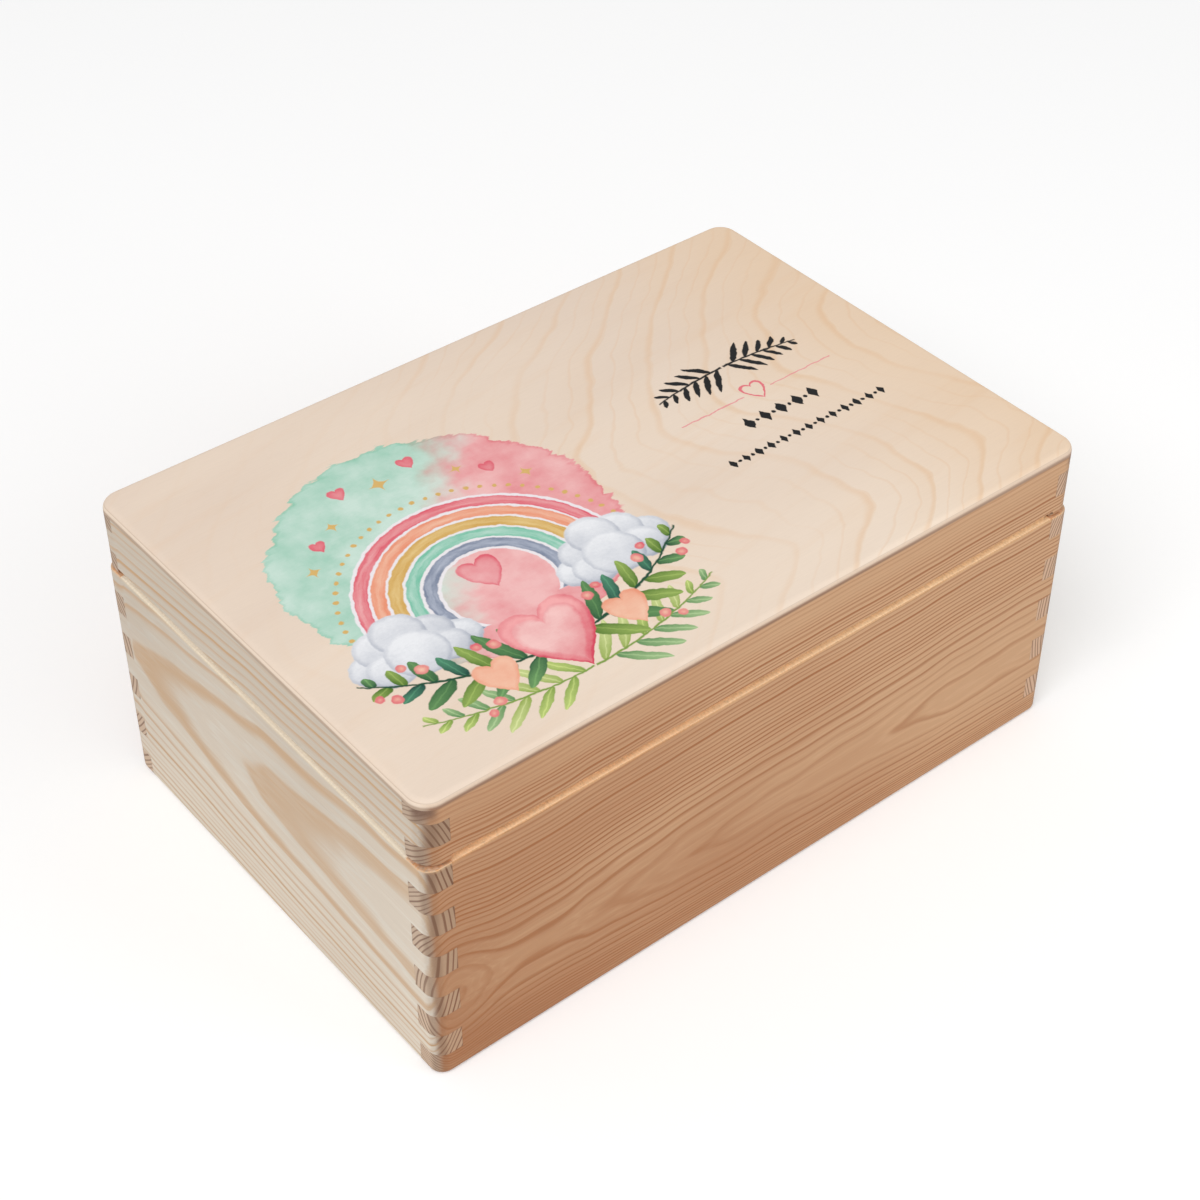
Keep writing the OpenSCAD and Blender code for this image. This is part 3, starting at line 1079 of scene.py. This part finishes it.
@dataclass(frozen=True)
class BrassFinish:
    """Thin brass plating on stamped steel, brushed along the hinge and dulled by handling."""

    name: str
    bright: Colour = paint(214, 176, 98)
    dull: Colour = paint(150, 112, 58)

    def build(self) -> bpy.types.Material:
        """Builds the hinge's material.

        Returns:
            The material.
        """
        graph = Graph(bpy.data.materials.new(self.name))
        place = graph.place()
        x = graph.part(place, "X")
        y = graph.part(place, "Y")
        z = graph.part(place, "Z")
        brushed = graph.noise(graph.vector(x * 0.25, y * 9.0, z * 9.0), 1.0, 2.0, 0.6)
        stain = graph.noise(place, 0.5, 3.0, 0.6)
        colour = graph.over(self.bright, self.dull, stain.ramp(-0.05, 0.3) * 0.7)
        colour = graph.lighten(colour, 1.0 + brushed * 0.2)
        roughness = 0.33 + brushed * 0.2 + stain.ramp(0.0, 0.3) * 0.2
        return graph.finish(colour, roughness, (brushed + stain) * 0.02, 0.6, {"Metallic": 1.0})


def dress(node: str, material: bpy.types.Material) -> None:
    """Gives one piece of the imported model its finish.

    Args:
        node: The piece's name.
        material: The finish.
    """
    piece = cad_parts[node]
    piece.data.materials.clear()
    piece.data.materials.append(material)
    LOG.info("dressed %s with %s", node, material.name)


@dataclass
class BoxSide:
    """One side of the box: a board of the body and the board of the lid that was sawn off it."""

    name: str
    finish: PineFinish
    slot: str

    def dress(self) -> None:
        """Dresses both boards with wood of the same tree, so that its figure runs on over the seam."""
        material = self.finish.build()
        for half in ("body", "lid"):
            dress(f"{half}_{self.name}_board", material)


@dataclass
class KeepsakeBox:
    """The whole box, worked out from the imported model's pieces."""

    body_fingers: int = 10

    def joinery(self) -> Joinery:
        """Reads the corner joints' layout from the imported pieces.

        Returns:
            The layout.
        """
        low, high = (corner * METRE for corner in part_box("body_front_board"))
        lid_low, lid_high = (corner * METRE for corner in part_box("lid_front_board"))
        side_low, side_high = (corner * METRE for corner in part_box("body_left_board"))
        return Joinery(
            half_length=high.x,
            half_width=-low.y,
            board=side_high.x - side_low.x,
            finger=high.z / self.body_fingers,
            rim=high.z,
            lid_low=lid_low.z,
            lid_high=lid_high.z,
        )

    def sides(self, joinery: Joinery) -> tuple[BoxSide, ...]:
        """Chooses the tree that each side was sawn from.

        Args:
            joinery: The corner joints' layout.

        Returns:
            The four sides.
        """
        front = Heart(
            Axis.RIGHT, Axis.FRONT, joinery.half_width, height=37.5,
            run=((-150.0, 35.2), (-141.0, 32.0), (-125.0, 36.0), (-105.0, 37.3), (-85.0, 36.0),
                 (-28.0, 32.3), (20.0, 30.8), (68.0, 29.5), (92.0, 27.6), (150.0, 27.0)),
            middle=36.0, aged=44.0, young=3.4, old=1.75, shift=5.93, pinch=6.0, squeeze=0.01, sway=2.2,
            seed=3.1,
        )
        back = Heart(
            Axis.LEFT, Axis.BACK, joinery.half_width, height=58.0,
            run=((-150.0, 36.0), (-60.0, 40.0), (20.0, 43.5), (60.0, 44.0), (150.0, 39.0)),
            middle=40.0, aged=52.0, young=3.1, old=1.9, shift=7.2, pinch=8.0, squeeze=0.0, sway=2.0,
            seed=17.4,
        )
        left = Heart(
            Axis.FRONT, Axis.LEFT, joinery.half_length, height=66.0,
            run=((-100.5, 131.0), (-88.0, 130.5), (-14.0, 127.6), (40.0, 126.2), (100.5, 124.9)),
            middle=130.5, aged=134.0, young=2.9, old=1.75, shift=8.82, pinch=6.0, squeeze=0.002, sway=1.1,
            seed=8.6,
        )
        right = Heart(
            Axis.BACK, Axis.RIGHT, joinery.half_length, height=52.0,
            run=((-100.5, 121.0), (-40.0, 119.0), (30.0, 117.0), (100.5, 113.5)),
            middle=120.0, aged=126.0, young=2.5, old=1.5, shift=9.0, pinch=8.0, squeeze=0.0, sway=1.2,
            seed=29.8,
        )
        calmer = replace(TAN, calm=joinery.lid_high - 11.0)
        greyer = replace(CREAM, end_early=paint(187, 153, 124), end_late=paint(114, 66, 38), end_fade=0.0031)
        return (
            BoxSide("front", PineFinish("pine_front", front, joinery, calmer), "pine_long"),
            BoxSide("back", PineFinish("pine_back", back, joinery, TAN), "pine_long"),
            BoxSide("left", PineFinish("pine_left", left, joinery, greyer), "pine_end"),
            BoxSide("right", PineFinish("pine_right", right, joinery, CREAM), "pine_end"),
        )

    def dress_panels(self) -> None:
        """Dresses the plywood on the lid and in the bottom."""
        low, high = (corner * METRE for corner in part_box("lid_top_panel"))
        art = LidPrint(half_length=high.x, half_width=high.y)
        dress("lid_top_panel", PlyFinish("birch_top", low.z, high.z, 4.2, art).build())
        low, high = (corner.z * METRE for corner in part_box("bottom_panel"))
        dress("bottom_panel", PlyFinish("birch_bottom", low, high, 13.7).build())

    def dress_hinges(self) -> None:
        """Dresses both hinges and their screws."""
        brass = BrassFinish("plated_brass").build()
        for side in ("left", "right"):
            for piece in ("body_leaf", "lid_leaf", "pin", "body_screws", "lid_screws"):
                dress(f"{side}_hinge_{piece}", brass)

    def build(self) -> None:
        """Dresses every piece of the box."""
        for side in self.sides(self.joinery()):
            side.dress()
        self.dress_panels()
        self.dress_hinges()


@dataclass
class Studio:
    """The plain pale room that the box is shown in, and the camera."""

    floor_half: float = 6.0
    eye: Triple = (-0.4255, -0.5283, 0.6512)
    yaw: float = 39.01
    pitch: float = 40.59
    roll: float = -0.05
    photo_width: float = 1200.0
    focal_pixels: float = 2343.0
    sensor: float = 36.0
    floor_colour: Colour = paint(243, 243, 243)
    floor_glow: float = 0.16
    room_light: float = 0.55
    lamp_target: Triple = (0.0, 0.0, 0.06)

    def floor(self) -> bpy.types.Object:
        """Makes the floor that the box stands on.

        Returns:
            The floor.
        """
        shape = bmesh.new()
        bmesh.ops.create_grid(shape, x_segments=1, y_segments=1, size=self.floor_half)
        mesh = bpy.data.meshes.new("floor")
        shape.to_mesh(mesh)
        shape.free()
        floor = bpy.data.objects.new("floor", mesh)
        bpy.context.scene.collection.objects.link(floor)
        graph = Graph(bpy.data.materials.new("pale_floor"))
        diffuse = graph.node("ShaderNodeBsdfDiffuse", {}, {"Color": self.floor_colour, "Roughness": 0.6})
        glow = graph.node("ShaderNodeEmission", {}, {"Color": WHITE, "Strength": self.floor_glow})
        both = graph.node("ShaderNodeAddShader", {}, {0: diffuse, 1: glow})
        seen = graph.node("ShaderNodeLightPath", output="Is Camera Ray")
        graph.show(graph.node("ShaderNodeMixShader", {}, {0: seen, 1: diffuse, 2: both}))
        mesh.materials.append(graph.owner)
        return floor

    def world(self) -> None:
        """Fills the room with even light, and shows white behind the box."""
        world = bpy.data.worlds.new("pale_room")
        bpy.context.scene.world = world
        graph = Graph(world)
        light = graph.node("ShaderNodeBackground", {}, {"Color": WHITE, "Strength": self.room_light})
        white = graph.node("ShaderNodeBackground", {}, {"Color": WHITE, "Strength": 1.0})
        seen = graph.node("ShaderNodeLightPath", output="Is Camera Ray")
        for way in ("Is Glossy Ray", "Is Transmission Ray"):
            seen = seen.most(graph.node("ShaderNodeLightPath", output=way))
        mix = graph.node("ShaderNodeMixShader", {}, {0: seen, 1: light, 2: white})
        graph.show(mix, "ShaderNodeOutputWorld")

    def lamp(self, name: str, place: Triple, size: float, power: float) -> None:
        """Hangs one soft lamp that shines on the box.

        Args:
            name: The lamp's name.
            place: Where it hangs.
            size: The side of its square face, in metres.
            power: Its power in watts.
        """
        light = bpy.data.lights.new(name, "AREA")
        light.shape = "SQUARE"
        light.size = size
        light.energy = power
        lamp = bpy.data.objects.new(name, light)
        lamp.location = place
        away = Vector(place) - Vector(self.lamp_target)
        lamp.rotation_euler = away.to_track_quat("Z", "Y").to_euler()
        bpy.context.scene.collection.objects.link(lamp)

    def camera(self) -> None:
        """Sets the camera where the photograph was taken from."""
        data = bpy.data.cameras.new("camera")
        data.sensor_width = self.sensor
        data.lens = self.focal_pixels / self.photo_width * self.sensor
        data.clip_start = 0.01
        data.clip_end = 100.0
        yaw, pitch, roll = (math.radians(angle) for angle in (self.yaw, self.pitch, self.roll))
        ahead = Vector((math.sin(yaw) * math.cos(pitch), math.cos(yaw) * math.cos(pitch), -math.sin(pitch)))
        level = Vector((math.cos(yaw), -math.sin(yaw), 0.0))
        down = ahead.cross(level)
        right = level * math.cos(roll) + down * math.sin(roll)
        up = right.cross(ahead)
        camera = bpy.data.objects.new("camera", data)
        turn = Matrix((right, up, -ahead)).transposed()
        camera.matrix_world = Matrix.Translation(self.eye) @ turn.to_4x4()
        bpy.context.scene.collection.objects.link(camera)
        bpy.context.scene.camera = camera

    def build(self) -> None:
        """Sets up the room, its lamps and the camera."""
        self.floor()
        self.world()
        self.lamp("key_lamp", place=(-1.2, -0.55, 1.9), size=1.4, power=22.0)
        self.lamp("front_lamp", place=(0.7, -1.2, 0.8), size=0.9, power=4.0)
        self.camera()
        bpy.context.scene.view_settings.view_transform = "Standard"


def main() -> None:
    """Builds the box's looks and the room round it."""
    logging.basicConfig(level=logging.INFO, format="%(name)s: %(message)s")
    Studio().build()
    KeepsakeBox().build()
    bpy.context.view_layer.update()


if __name__ == "__main__":
    main()
